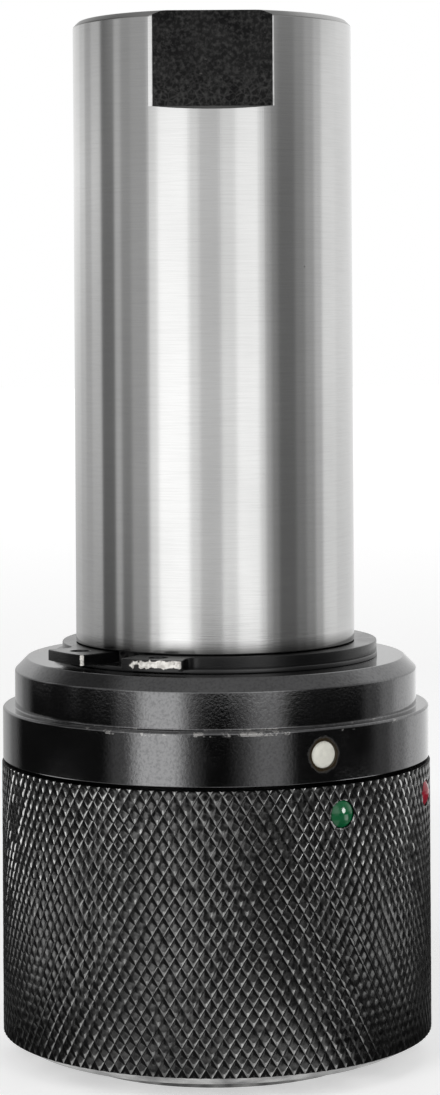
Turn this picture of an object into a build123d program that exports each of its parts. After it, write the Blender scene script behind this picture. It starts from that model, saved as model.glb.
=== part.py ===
from build123d import *
from math import cos, degrees, asin, pi, radians, sin, sqrt, tan
import os

# Quick-change holder for core drills. It stands on its nose: +Z runs up the shank, the drill bore
# opens at the bottom, and the front of the holder faces -Y. All sizes are millimetres, and all
# angles are degrees round +Z, counted from +X.

os.makedirs("parts", exist_ok=True)

# Fits and running gaps, all radial unless they are named otherwise
press_gap = 0.01
pin_gap = 0.03
turn_gap = 0.05
seal_gap = 0.05
end_gap = 0.1

# Shank, with two flats milled at its top end for the machine's drive
shank_diameter = 32.0
shank_length = 72.7
shank_chamfer = 0.6
flat_depth = 1.54
flat_length = 11.0
flat_ledge_angle = 16.0

# Body below the shank: a barrel for the sleeve and the collar, and a nose flange under the sleeve
shoulder_width = 2.5
flange_step = 2.0
flange_height = 2.8
nose_height = 1.7
nose_step = 0.7
nose_chamfer = 0.4

# Drill bore in the nose, relieved between its two lands so that burrs on a drill's flats run clear
bore_diameter = 19.07
bore_depth = 33.0
bore_mouth_chamfer = 0.8
relief_depth = 0.45
relief_margin = 1.5

# Ejector chamber above the bore, and the coolant duct above the chamber
chamber_diameter = 13.0
chamber_depth = 52.0
drill_point_angle = 118.0
coolant_diameter = 6.0
centre_diameter = 9.0
centre_angle = 60.0

# Locking pins, two at a right angle, which the sleeve's inner cams press on the drill's flats
pin_height = 17.0
pin_angles = (-135.0, -45.0)
pin_diameter = 8.0
pin_head_diameter = 10.0
pin_reach = 1.235
pin_web = 1.465
pin_crown = 8.0
pin_travel = 2.25
pin_spring_room = 1.8
pin_spring_wire = 0.6
pin_spring_turns = 1.6

# Sleeve, which turns on the barrel
sleeve_length = 31.8
sleeve_wall = 2.3
sleeve_lip_width = 1.8
sleeve_foot_height = 1.2
sleeve_top_chamfer = 0.4
cam_clearance = 0.22
cam_head_room = 0.6
cam_run_out = 18.0
floor_web = 1.4
open_turn = 46.0

# Stop pin in the barrel, which runs in a slot of the sleeve
stop_diameter = 4.0
stop_angle = 65.0
stop_depth = 6.0
stop_projection = 2.4
stop_slot_gap = 0.25

# Return spring between the sleeve and the collar
spring_room = 3.8
spring_gap = 0.65
spring_wire = 1.5
spring_turns = 2.75
spring_leg = 1.5
spring_start_angle = 170.0
spring_hole_gap = 0.15

# Collar: a wide step with the index dot, and a narrower step with a bevelled edge
collar_gap = 0.3
collar_inset = 0.15
collar_height = 11.5
collar_step_height = 6.0
collar_step_width = 1.4
collar_bevel = 1.4
collar_edge = 0.4
collar_lid = 4.8
collar_bore_gap = 0.02
spigot_length = 2.2

# Thrust washer and snap ring above the collar
washer_width = 2.6
washer_thickness = 0.5
washer_bore_gap = 0.1
ring_thickness = 1.2
ring_groove_depth = 0.85
ring_groove_gap = 0.1
ring_width = 2.95
ring_offset = 0.8
ring_inner_gap = 0.02
ring_gap_centre = -127.5
ring_gap_angle = 15.0
lug_width = 5.65
lug_angle = 20.0
lug_blend = 1.6
lug_corner = 0.4
lug_hole_diameter = 2.2
lug_hole_inset = 3.25

# Coloured dots: the index on the collar, and the locked and open marks on the sleeve
dot_diameter = 3.0
dot_depth = 1.5
dot_crown = 0.12
index_angle = -61.5
index_rise = 3.1
locked_offset = 5.3
mark_drop = 3.2
key_depth = 4.0

# Hidden wires and seals are round, drawn with this many sides, and each coil's turn with these chords
round_sides = 6
coil_chords = 16

# Seals, each a ring of round section in a groove
seal_section = 1.5
collar_seal_section = 1.0
seal_groove_gap = 0.1
bore_seal_drop = 1.8

# Ejector plunger, its coil and the internal snap ring below it
plunger_gap = 0.08
plunger_length = 14.0
plunger_guide_diameter = 7.0
plunger_guide_length = 5.0
plunger_nose_diameter = 9.0
plunger_duct_diameter = 3.5
plunger_sink = 0.4
clip_thickness = 1.0
clip_height = 1.0
clip_groove_depth = 0.5
clip_ring_width = 1.4
clip_gap_angle = 50.0
ejector_wire = 1.2
ejector_turns = 6.0
ejector_coil_gap = 0.8

# Radii that follow from the sizes above
shank_radius = shank_diameter / 2
barrel_radius = shank_radius + shoulder_width
flange_radius = barrel_radius + flange_step
bore_radius = bore_diameter / 2
relief_radius = bore_radius + relief_depth
chamber_radius = chamber_diameter / 2
coolant_radius = coolant_diameter / 2
nose_radius = barrel_radius - nose_step
sleeve_bore_radius = barrel_radius + turn_gap
counterbore_radius = flange_radius + seal_gap * 2
spring_chamber_radius = barrel_radius + spring_room
sleeve_radius = spring_chamber_radius + sleeve_wall
sleeve_lip_radius = counterbore_radius + sleeve_lip_width
collar_radius = sleeve_radius - collar_inset
collar_top_radius = collar_radius - collar_step_width
spigot_radius = spring_chamber_radius - turn_gap * 2
groove_radius = shank_radius - ring_groove_depth
lug_radius = groove_radius + lug_width
pin_radius = pin_diameter / 2
pin_head_radius = pin_head_diameter / 2
stop_radius = stop_diameter / 2
dot_radius = dot_diameter / 2

# Heights above the nose face
flange_top = nose_height + flange_height
sleeve_bottom = nose_height
sleeve_seat = flange_top + end_gap
sleeve_top = sleeve_bottom + sleeve_length
cam_top = pin_height + pin_head_radius + cam_head_room
spring_floor = cam_top + floor_web
collar_bottom = sleeve_top + collar_gap
spigot_bottom = collar_bottom - spigot_length
collar_step = collar_bottom + collar_step_height
collar_top = collar_bottom + collar_height
shoulder = collar_top - collar_lid
washer_top = collar_top + washer_thickness
ring_top = washer_top + ring_thickness
overall_length = collar_top + shank_length
flat_ledge = overall_length - flat_length
mark_height = sleeve_top - mark_drop
index_height = collar_bottom + index_rise
chamber_top = bore_depth + chamber_depth
clip_bottom = bore_depth + clip_height
clip_top = clip_bottom + clip_thickness

# Stack of the locking pins, outwards from the holder's axis
pin_tip = bore_radius - pin_reach
pin_ledge = bore_radius + pin_web
pin_head_inside = pin_ledge + pin_spring_room
pin_head_end = barrel_radius - end_gap


def outward(angle, radius=1.0, height=0.0):
    """Point at an angle round the axis, a radius from it and a height above the nose."""
    return (radius * cos(radians(angle)), radius * sin(radians(angle)), height)


def radial_section(angle, height):
    """Plane through the axis: its x runs outwards and its y runs up, from a height on the axis."""
    return Plane(origin=(0, 0, height), x_dir=outward(angle), z_dir=outward(angle - 90))


def radial_face(angle, height, radius):
    """Plane that faces outwards, a radius from the axis."""
    return Plane(origin=outward(angle, radius, height), x_dir=(0, 0, 1), z_dir=outward(angle))


def radial_axis(angle, height):
    """Axis that runs outwards from a height on the holder's own axis."""
    return Axis((0, 0, height), outward(angle))


def off_axis(vertex):
    """How far a vertex lies from the holder's axis."""
    return sqrt(vertex.X**2 + vertex.Y**2)


def crown_drop(crown, half_width):
    """How far a crown of this radius falls from its middle to this distance from it."""
    return crown - sqrt(crown**2 - half_width**2)


def seal_ring(label, middle_radius, height, section):
    """A rubber ring of round section."""
    with BuildPart() as seal:
        with BuildSketch(Plane.XZ):
            with Locations((middle_radius, height)):
                RegularPolygon(section / 2, round_sides)
        revolve(axis=Axis.Z)
    seal.part.label = label
    export_step(seal.part, f"parts/{label}.step")


def coloured_dot(label, angle, height, face_radius):
    """A plastic plug let in flush, with a slightly crowned face."""
    with BuildPart() as dot:
        with BuildSketch(radial_face(angle, height, face_radius - dot_depth)):
            Circle(dot_radius - press_gap)
        extrude(amount=dot_depth + dot_crown)
        rim = dot.faces().sort_by(radial_axis(angle, height))[-1].edges()
        chamfer(rim, length=dot_crown, length2=dot_radius / 3)
    dot.part.label = label
    export_step(dot.part, f"parts/{label}.step")


def coil_spring(label, base, radius, length, turns, wire, leg=0.0):
    """A coil round the base plane's z axis, from its origin up, with a straight leg at each end."""
    count = round(turns * coil_chords)
    steps = [(360 * turns * step / count, length * step / count) for step in range(count + 1)]
    points = [outward(turn, radius, rise) for turn, rise in steps]
    if leg:
        points = [outward(0, radius, -leg), *points, outward(360 * turns, radius, length + leg)]
    with BuildPart() as spring:
        with BuildLine(base) as path:
            Polyline(*points)
        with BuildSketch(Plane(origin=path.line @ 0, z_dir=path.line % 0)):
            RegularPolygon(wire / 2, round_sides)
        sweep(path=path.line, transition=Transition.RIGHT)
    spring.part.label = label
    export_step(spring.part, f"parts/{label}.step")


# Holder body: turned, bored and ground in one piece
flange_seal_height = sleeve_bottom + flange_height / 2
flange_seal_groove = flange_radius - seal_section + seal_gap
bore_seal_top = bore_depth - bore_seal_drop / 2
bore_seal_bottom = bore_seal_top - seal_section - seal_groove_gap
bore_seal_radius = bore_radius + seal_section + seal_groove_gap
relief_bottom = pin_height - pin_radius - relief_margin
relief_top = pin_height + pin_radius + relief_margin
chamber_cone = (chamber_radius - coolant_radius) / tan(radians(drill_point_angle / 2))
centre_radius = centre_diameter / 2
centre_depth = (centre_radius - coolant_radius) / tan(radians(centre_angle / 2))
with BuildPart() as holder_body:
    with BuildSketch(Plane.XZ):
        with BuildLine():
            Polyline(
                (bore_radius + bore_mouth_chamfer, 0),
                (nose_radius - nose_chamfer, 0),
                (nose_radius, nose_chamfer),
                (nose_radius, nose_height),
                (flange_radius, nose_height),
                (flange_radius, flange_top),
                (barrel_radius, flange_top),
                (barrel_radius, shoulder),
                (shank_radius, shoulder),
                (shank_radius, washer_top),
                (groove_radius, washer_top),
                (groove_radius, ring_top + ring_groove_gap),
                (shank_radius, ring_top + ring_groove_gap),
                (shank_radius, overall_length - shank_chamfer),
                (shank_radius - shank_chamfer, overall_length),
                (centre_radius, overall_length),
                (coolant_radius, overall_length - centre_depth),
                (coolant_radius, chamber_top + chamber_cone),
                (chamber_radius, chamber_top),
                (chamber_radius, clip_top),
                (chamber_radius + clip_groove_depth, clip_top),
                (chamber_radius + clip_groove_depth, clip_bottom),
                (chamber_radius, clip_bottom),
                (chamber_radius, bore_depth),
                (bore_radius, bore_depth),
                (bore_radius, bore_seal_top),
                (bore_seal_radius, bore_seal_top),
                (bore_seal_radius, bore_seal_bottom),
                (bore_radius, bore_seal_bottom),
                (bore_radius, relief_top),
                (relief_radius, relief_top),
                (relief_radius, relief_bottom),
                (bore_radius, relief_bottom),
                (bore_radius, bore_mouth_chamfer),
                close=True,
            )
        make_face()
    revolve(axis=Axis.Z)
    # groove of the sleeve's lower seal, in the flange
    with BuildSketch(Plane.XZ):
        with Locations((flange_radius, flange_seal_height)):
            Rectangle(2 * (flange_radius - flange_seal_groove), seal_section + 2 * seal_groove_gap)
    revolve(axis=Axis.Z, mode=Mode.SUBTRACT)
    # drive flats, front and back, each ending in a sloped ledge
    ledge_fall = flat_depth * tan(radians(flat_ledge_angle))
    with BuildSketch(Plane.YZ):
        with BuildLine():
            Polyline(
                (shank_radius - flat_depth, flat_ledge + ledge_fall),
                (shank_radius + flat_depth, flat_ledge - ledge_fall),
                (shank_radius + flat_depth, overall_length + flat_depth),
                (shank_radius - flat_depth, overall_length + flat_depth),
                close=True,
            )
        make_face()
        mirror(about=Plane.YZ)
    extrude(amount=shank_radius, both=True, mode=Mode.SUBTRACT)
    # stepped holes of the locking pins
    with Locations([radial_face(angle, pin_height, barrel_radius) for angle in pin_angles]):
        CounterBoreHole(
            radius=pin_radius + pin_gap,
            counter_bore_radius=pin_head_radius + pin_gap,
            counter_bore_depth=barrel_radius - pin_ledge,
            depth=barrel_radius - bore_radius / 2,
        )
    # blind holes of the stop pin and the collar's key
    with Locations(radial_face(stop_angle, pin_height, barrel_radius)):
        Hole(radius=stop_radius + press_gap, depth=stop_depth)
    with Locations(radial_face(index_angle, index_height, barrel_radius)):
        Hole(radius=dot_radius, depth=key_depth)
holder_body.part.label = "holder_body"
export_step(holder_body.part, "parts/holder_body.step")

# Collar: turned, with a spigot that centres the sleeve's upper end
spigot_seal_groove = spigot_radius - collar_seal_section + seal_gap
spigot_seal_height = spigot_bottom + spigot_length / 2
with BuildPart() as index_collar:
    with BuildSketch(Plane.XZ):
        with BuildLine():
            Polyline(
                (barrel_radius + collar_bore_gap, spigot_bottom),
                (spigot_radius, spigot_bottom),
                (spigot_radius, collar_bottom),
                (collar_radius - collar_edge, collar_bottom),
                (collar_radius, collar_bottom + collar_edge),
                (collar_radius, collar_step - collar_edge),
                (collar_radius - collar_edge, collar_step),
                (collar_top_radius, collar_step),
                (collar_top_radius, collar_top - collar_bevel),
                (collar_top_radius - collar_bevel, collar_top),
                (shank_radius + collar_bore_gap, collar_top),
                (shank_radius + collar_bore_gap, shoulder),
                (barrel_radius + collar_bore_gap, shoulder),
                close=True,
            )
        make_face()
        with Locations((spigot_radius, spigot_seal_height)):
            Rectangle(
                2 * (spigot_radius - spigot_seal_groove),
                collar_seal_section + seal_groove_gap,
                mode=Mode.SUBTRACT,
            )
    revolve(axis=Axis.Z)
    # one radial hole takes the key and, outside it, the index dot
    with Locations(radial_face(index_angle, index_height, collar_radius)):
        Hole(radius=dot_radius, depth=collar_radius - barrel_radius + dot_depth)
    # hole for the return spring's upper leg
    spring_radius = barrel_radius + spring_gap + spring_wire / 2
    spring_end_angle = spring_start_angle + 360 * spring_turns
    with Locations(Plane(origin=outward(spring_end_angle, spring_radius, spigot_bottom), z_dir=(0, 0, -1))):
        Hole(radius=spring_wire / 2 + spring_hole_gap, depth=spring_leg + spring_hole_gap)
index_collar.part.label = "index_collar"
export_step(index_collar.part, "parts/index_collar.step")

# Sleeve: counterbored at its foot for the flange, with the return spring's chamber at its head
cam_lead = pin_travel / open_turn
cam_start = -degrees(cam_clearance / (cam_lead * 180 / pi)) / 2
cam_end = open_turn + cam_run_out
cam_steps = 6


def cam_radius(turn):
    """Radius of the cam a turn past the place that holds a pin locked."""
    return pin_head_end + cam_clearance + cam_lead * turn


with BuildPart() as locking_sleeve:
    with BuildSketch(Plane.XZ):
        with BuildLine():
            Polyline(
                (counterbore_radius, sleeve_bottom),
                (sleeve_lip_radius, sleeve_bottom),
                (sleeve_radius, sleeve_bottom + sleeve_foot_height),
                (sleeve_radius, sleeve_top - sleeve_top_chamfer),
                (sleeve_radius - sleeve_top_chamfer, sleeve_top),
                (spring_chamber_radius, sleeve_top),
                (spring_chamber_radius, spring_floor),
                (sleeve_bore_radius, spring_floor),
                (sleeve_bore_radius, sleeve_seat),
                (counterbore_radius, sleeve_seat),
                close=True,
            )
        make_face()
    revolve(axis=Axis.Z)
    # two spiral cam pockets, broached from below so that the sleeve slides on over the pins
    with BuildSketch(Plane.XY.offset(sleeve_seat)):
        for pin_angle in pin_angles:
            turns = [cam_start + (cam_end - cam_start) * step / cam_steps for step in range(cam_steps + 1)]
            with BuildLine():
                spiral = Spline(*[outward(pin_angle + turn, cam_radius(turn))[:2] for turn in turns])
                Polyline(spiral @ 1, (0, 0), spiral @ 0)
            make_face()
    extrude(amount=cam_top - sleeve_seat, mode=Mode.SUBTRACT)
    # slot of the stop pin, also open from below
    slot_radius = barrel_radius + stop_projection + stop_slot_gap
    slot_margin = degrees(asin((stop_radius + stop_slot_gap) / barrel_radius))
    slot_top = pin_height + stop_radius + stop_slot_gap
    with BuildSketch(Plane.XY.offset(sleeve_seat)):
        with BuildLine():
            slot_arc = CenterArc((0, 0), slot_radius, stop_angle - slot_margin, open_turn + 2 * slot_margin)
            Polyline(slot_arc @ 1, (0, 0), slot_arc @ 0)
        make_face()
    extrude(amount=slot_top - sleeve_seat, mode=Mode.SUBTRACT)
    # hole for the return spring's lower leg
    with Locations(outward(spring_start_angle, spring_radius, spring_floor)):
        Hole(radius=spring_wire / 2 + spring_hole_gap, depth=spring_leg + spring_hole_gap)
    # spot holes of the two marks
    locked_angle = index_angle + locked_offset
    open_angle = index_angle + open_turn
    with Locations([radial_face(angle, mark_height, sleeve_radius) for angle in (locked_angle, open_angle)]):
        Hole(radius=dot_radius, depth=dot_depth)
locking_sleeve.part.label = "locking_sleeve"
export_step(locking_sleeve.part, "parts/locking_sleeve.step")

# Coloured dots of the collar and the sleeve
coloured_dot("index_dot", index_angle, index_height, collar_radius)
coloured_dot("locked_dot", locked_angle, mark_height, sleeve_radius)
coloured_dot("open_dot", open_angle, mark_height, sleeve_radius)

# Key of the collar: a dowel below the index dot
with BuildPart() as collar_key:
    with BuildSketch(radial_face(index_angle, index_height, barrel_radius - key_depth)):
        Circle(dot_radius - press_gap)
    extrude(amount=key_depth + collar_radius - barrel_radius - dot_depth)
collar_key.part.label = "collar_key"
export_step(collar_key.part, "parts/collar_key.step")

# Stop pin of the sleeve
with BuildPart() as stop_pin:
    with BuildSketch(radial_face(stop_angle, pin_height, barrel_radius - stop_depth)):
        Circle(stop_radius)
    extrude(amount=stop_depth + stop_projection)
stop_pin.part.label = "stop_pin"
export_step(stop_pin.part, "parts/stop_pin.step")

# Thrust washer
with BuildPart() as thrust_washer:
    with BuildSketch(Plane.XY.offset(collar_top)):
        Circle(shank_radius + washer_width)
        Circle(shank_radius + washer_bore_gap, mode=Mode.SUBTRACT)
    extrude(amount=washer_thickness)
thrust_washer.part.label = "thrust_washer"
export_step(thrust_washer.part, "parts/thrust_washer.step")

# Snap ring: stamped, widest opposite its gap, with a holed lug on each side of the gap
lug_reach = ring_gap_angle / 2 + lug_angle
with BuildPart() as retaining_ring:
    with BuildSketch(Plane.XY.offset(washer_top)) as ring_blank:
        with Locations(outward(ring_gap_centre + 180, ring_offset)[:2]):
            Circle(groove_radius + ring_width)
        with BuildLine():
            lug_arc = CenterArc((0, 0), lug_radius, ring_gap_centre - lug_reach, 2 * lug_reach)
            Polyline(lug_arc @ 1, (0, 0), lug_arc @ 0)
        make_face()
        Circle(groove_radius + ring_inner_gap, mode=Mode.SUBTRACT)
        ring_corners = ring_blank.vertices()
        lug_roots = ring_corners.filter_by(lambda v: 1 < off_axis(v) - groove_radius < lug_width - 1)
        fillet(lug_roots, radius=lug_blend)
        with BuildLine():
            gap_arc = CenterArc((0, 0), lug_radius + 1, ring_gap_centre - ring_gap_angle / 2, ring_gap_angle)
            Polyline(gap_arc @ 1, (0, 0), gap_arc @ 0)
        make_face(mode=Mode.SUBTRACT)
        lug_tips = ring_blank.vertices().filter_by(lambda v: off_axis(v) > lug_radius - lug_corner)
        fillet(lug_tips, radius=lug_corner)
        for side in (-1, 1):
            lug_centre = ring_gap_centre + side * (ring_gap_angle + lug_angle) / 2
            with Locations(outward(lug_centre, groove_radius + lug_hole_inset)[:2]):
                Circle(lug_hole_diameter / 2, mode=Mode.SUBTRACT)
    extrude(amount=ring_thickness)
retaining_ring.part.label = "retaining_ring"
export_step(retaining_ring.part, "parts/retaining_ring.step")

# Locking pins, crowned at the tip and at the head, and the coil below each head
coil_radius = (pin_radius + pin_head_radius) / 2
coil_length = pin_spring_room - pin_spring_wire
for pin_angle, letter in zip(pin_angles, "ab"):
    with BuildPart() as locking_pin:
        with BuildSketch(radial_section(pin_angle, pin_height)):
            with BuildLine():
                tip = ThreePointArc(
                    (pin_tip, 0),
                    (pin_tip + crown_drop(pin_crown, pin_radius / 2), pin_radius / 2),
                    (pin_tip + crown_drop(pin_crown, pin_radius), pin_radius),
                )
                head = ThreePointArc(
                    (pin_head_end - crown_drop(pin_crown, pin_head_radius), pin_head_radius),
                    (pin_head_end - crown_drop(pin_crown, pin_head_radius / 2), pin_head_radius / 2),
                    (pin_head_end, 0),
                )
                Polyline(
                    tip @ 1,
                    (pin_head_inside, pin_radius),
                    (pin_head_inside, pin_head_radius),
                    head @ 0,
                )
                Line(head @ 1, tip @ 0)
            make_face()
        revolve(axis=radial_axis(pin_angle, pin_height))
    locking_pin.part.label = f"locking_pin_{letter}"
    export_step(locking_pin.part, f"parts/locking_pin_{letter}.step")

    coil_spring(
        f"pin_spring_{letter}",
        radial_face(pin_angle, pin_height, pin_ledge + pin_spring_wire / 2),
        coil_radius,
        coil_length,
        pin_spring_turns,
        pin_spring_wire,
    )

# Return spring: a torsion coil whose two legs stand in the sleeve and in the collar
coil_bottom = spring_floor + spring_wire / 2 + end_gap
coil_top = spigot_bottom - spring_wire / 2 - end_gap
coil_spring(
    "return_spring",
    Plane.XY.offset(coil_bottom).rotated((0, 0, spring_start_angle)),
    spring_radius,
    coil_top - coil_bottom,
    spring_turns,
    spring_wire,
    leg=spring_wire / 2 + end_gap + spring_leg,
)

# Seals of the sleeve's two ends and of the bore
seal_ring("sleeve_seal", flange_radius - seal_section / 2 + seal_gap, flange_seal_height, seal_section)
seal_ring(
    "collar_seal",
    spigot_radius - collar_seal_section / 2 + seal_gap,
    spigot_seal_height,
    collar_seal_section,
)
seal_ring(
    "bore_seal",
    bore_radius + seal_section / 2 + seal_groove_gap / 2,
    (bore_seal_bottom + bore_seal_top) / 2,
    seal_section,
)

# Internal snap ring below the plunger
clip_radius = chamber_radius + clip_groove_depth - press_gap
with BuildPart() as plunger_clip:
    with BuildSketch(Plane.XY.offset(clip_bottom)):
        Circle(clip_radius)
        Circle(clip_radius - clip_ring_width, mode=Mode.SUBTRACT)
        with BuildLine():
            clip_gap = CenterArc((0, 0), clip_radius + 1, -90 - clip_gap_angle / 2, clip_gap_angle)
            Polyline(clip_gap @ 1, (0, 0), clip_gap @ 0)
        make_face(mode=Mode.SUBTRACT)
    extrude(amount=clip_thickness - press_gap)
plunger_clip.part.label = "plunger_clip"
export_step(plunger_clip.part, "parts/plunger_clip.step")

# Ejector plunger: its nose stands in the snap ring, and a duct through it lets coolant down
plunger_top = clip_top + plunger_length
with BuildPart() as ejector_plunger:
    with BuildSketch(Plane.XZ):
        with BuildLine():
            Polyline(
                (plunger_duct_diameter / 2, bore_depth + plunger_sink),
                (plunger_nose_diameter / 2, bore_depth + plunger_sink),
                (plunger_nose_diameter / 2, clip_top),
                (chamber_radius - plunger_gap, clip_top),
                (chamber_radius - plunger_gap, plunger_top),
                (plunger_guide_diameter / 2, plunger_top),
                (plunger_guide_diameter / 2, plunger_top + plunger_guide_length),
                (plunger_duct_diameter / 2, plunger_top + plunger_guide_length),
                close=True,
            )
        make_face()
    revolve(axis=Axis.Z)
ejector_plunger.part.label = "ejector_plunger"
export_step(ejector_plunger.part, "parts/ejector_plunger.step")

# Ejector coil, from the plunger's shoulder to the top of the chamber
ejector_bottom = plunger_top + ejector_wire / 2
coil_spring(
    "ejector_spring",
    Plane.XY.offset(ejector_bottom),
    chamber_radius - ejector_coil_gap - ejector_wire / 2,
    chamber_top - ejector_wire / 2 - ejector_bottom,
    ejector_turns,
    ejector_wire,
)
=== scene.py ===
import random
from math import cos, pi, radians, sin, sqrt, tan

import bmesh
import bpy
from mathutils import Matrix, Vector
from mathutils.noise import noise as lumps


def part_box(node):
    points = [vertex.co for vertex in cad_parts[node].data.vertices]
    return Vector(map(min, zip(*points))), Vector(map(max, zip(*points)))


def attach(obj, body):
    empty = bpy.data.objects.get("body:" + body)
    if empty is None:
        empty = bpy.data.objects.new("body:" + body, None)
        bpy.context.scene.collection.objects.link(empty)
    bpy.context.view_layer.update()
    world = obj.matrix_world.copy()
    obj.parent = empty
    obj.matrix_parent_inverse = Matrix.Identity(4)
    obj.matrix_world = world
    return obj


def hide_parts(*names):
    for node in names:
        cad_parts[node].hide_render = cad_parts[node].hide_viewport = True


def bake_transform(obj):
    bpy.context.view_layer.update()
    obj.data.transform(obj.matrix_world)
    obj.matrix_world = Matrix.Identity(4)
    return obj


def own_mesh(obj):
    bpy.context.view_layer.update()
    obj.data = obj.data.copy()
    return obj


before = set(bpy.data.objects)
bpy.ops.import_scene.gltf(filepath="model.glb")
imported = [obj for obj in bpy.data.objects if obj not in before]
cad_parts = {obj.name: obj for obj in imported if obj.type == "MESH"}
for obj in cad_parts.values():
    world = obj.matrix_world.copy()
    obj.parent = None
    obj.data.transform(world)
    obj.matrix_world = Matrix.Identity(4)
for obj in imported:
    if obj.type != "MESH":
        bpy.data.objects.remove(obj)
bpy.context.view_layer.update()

# Camera. It stands level in front of the holder, at seven tenths of its height, and leans by a third
# of a degree, as the photographer's did. The picture is the lower part of a taller one, so the point
# straight ahead lies above its middle.
mm = 0.001
photo_width, photo_height = 440, 1095
straight_ahead_x, straight_ahead_y = 213.35, 315.19
focal_length_px = 2875
sensor_height = 36.0
camera_distance, camera_height = 331.3 * mm, 84.35 * mm
camera_lean = -0.0060
nearest_view = 10 * mm
camera = bpy.data.objects.new("camera", bpy.data.cameras.new("camera"))
bpy.context.scene.collection.objects.link(camera)
camera.data.sensor_width = sensor_height
camera.data.lens = sensor_height * focal_length_px / photo_height
camera.data.shift_x = (photo_width / 2 - straight_ahead_x) / photo_height
camera.data.shift_y = (straight_ahead_y - photo_height / 2) / photo_height
camera.data.clip_start = nearest_view
camera.location = (0, -camera_distance, camera_height)
camera.rotation_euler = (Matrix.Rotation(pi / 2, 3, "X") @ Matrix.Rotation(camera_lean, 3, "Z")).to_euler()
bpy.context.scene.camera = camera
bpy.context.scene.view_settings.view_transform = "Standard"


# Studio. A pale floor, a white background, and a ring of panels close round the holder which only
# mirrors see: two soft lamps, and the grey and black cards which give bright steel its bands.
# Directions are degrees round the holder from the camera, to the right.
class Amount:
    """A number, a colour or a place over a surface, as it comes out of a shader node. Amounts add,
    multiply and compare as numbers do."""

    def __init__(self, socket):
        self.socket = socket
        self.tree = socket.id_data

    def __add__(self, other):
        return worked_out("ADD", self, other)

    def __sub__(self, other):
        return worked_out("SUBTRACT", self, other)

    def __rsub__(self, other):
        return worked_out("SUBTRACT", other, self)

    def __mul__(self, other):
        return worked_out("MULTIPLY", self, other)

    def __gt__(self, other):
        return worked_out("GREATER_THAN", self, other)

    def __lt__(self, other):
        return worked_out("LESS_THAN", self, other)

    __radd__ = __add__


def node(tree, kind, **settings):
    """A new shader node with its settings made."""
    made = tree.nodes.new("ShaderNode" + kind)
    for name, value in settings.items():
        setattr(made, name, value)
    return made


def feed(socket, value):
    """Joins a socket to an amount, or sets its number or colour."""
    if isinstance(value, Amount):
        value.tree.links.new(value.socket, socket)
    elif socket.type == "RGBA":
        socket.default_value = (*value, 1)
    else:
        socket.default_value = value


def worked_out(operation, *values):
    """What a sum or a comparison of amounts and numbers comes to."""
    tree = next(value.tree for value in values if isinstance(value, Amount))
    made = node(tree, "Math", operation=operation)
    for socket, value in zip(made.inputs, values):
        feed(socket, value)
    return Amount(made.outputs[0])


def either(mask, *others):
    """A mask that holds wherever one of several does."""
    for other in others:
        mask = worked_out("MAXIMUM", mask, other)
    return mask


def fade(value, low, high, to_low=0.0, to_high=1.0):
    """Runs from one level to another as a value goes from low to high."""
    made = node(value.tree, "MapRange", clamp=True)
    levels = {"Value": value, "From Min": low, "From Max": high, "To Min": to_low, "To Max": to_high}
    for name, level in levels.items():
        feed(made.inputs[name], level)
    return Amount(made.outputs["Result"])


def axes_of(place):
    """The x, y and z of a place or of a direction."""
    split = node(place.tree, "SeparateXYZ")
    feed(split.inputs[0], place)
    return [Amount(socket) for socket in split.outputs]


def length_of(*sides):
    """Length of a line, from how far it goes along each axis."""
    return worked_out("SQRT", sum(side * side for side in sides))


def new_finish(name):
    """A material, and the places on the surface that it covers."""
    material = bpy.data.materials.new(name)
    material.use_nodes = True
    return material, Amount(node(material.node_tree, "TexCoord").outputs["Object"])


def coat(material, inputs):
    """Feeds a material's surface, by the names of its inputs."""
    surface = material.node_tree.nodes["Principled BSDF"]
    for name, value in inputs.items():
        feed(surface.inputs[name], value)


def mirrored_glow(tree, strength):
    """A glow that the camera and mirrors see, but which sheds no light."""
    rays = node(tree, "LightPath").outputs
    seen = either(*(Amount(rays[ray]) for ray in ("Is Camera Ray", "Is Glossy Ray", "Is Transmission Ray")))
    return seen * strength


def link(name, mesh, material):
    """A mesh put into the scene as an object with its finish."""
    thing = bpy.data.objects.new(name, mesh)
    bpy.context.scene.collection.objects.link(thing)
    mesh.materials.append(material)
    return thing


white = (1, 1, 1)
floor_half = 3.0
floor_sink = 0.02 * mm
floor_grey = (0.78, 0.78, 0.78)
# the floor glows more with its distance, so that it fades into the white behind
floor_near, floor_far = 0.35, 1.6
lift_near, lift_far = 0.50, 0.86
mesh = bpy.data.meshes.new("floor")
corners = [(x * floor_half, y * floor_half, -floor_sink) for x, y in ((-1, -1), (1, -1), (1, 1), (-1, 1))]
mesh.from_pydata(corners, [], [(0, 1, 2, 3)])
material, where = new_finish("pale_floor")
lift = fade(length_of(*axes_of(where)), floor_near, floor_far, lift_near, lift_far)
coat(material, {
    "Base Color": floor_grey,
    "Roughness": 0.9,
    "Emission Color": white,
    "Emission Strength": mirrored_glow(where.tree, lift),
})
link("floor", mesh, material)

world = bpy.data.worlds.new("studio")
world.use_nodes = True
bpy.context.scene.world = world
room_light = 0.25
background = world.node_tree.nodes["Background"].inputs
feed(background["Color"], white)
feed(background["Strength"], room_light + mirrored_glow(world.node_tree, 1 - room_light))

card_distance = 190 * mm
card_foot = 0.4 * mm
low_top, upright_foot = 23 * mm, 27 * mm
upright_top = 110 * mm
high_foot, high_top = 190 * mm, 300 * mm
ceiling_height = 420 * mm
ceiling_glow = 0.42
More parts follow.
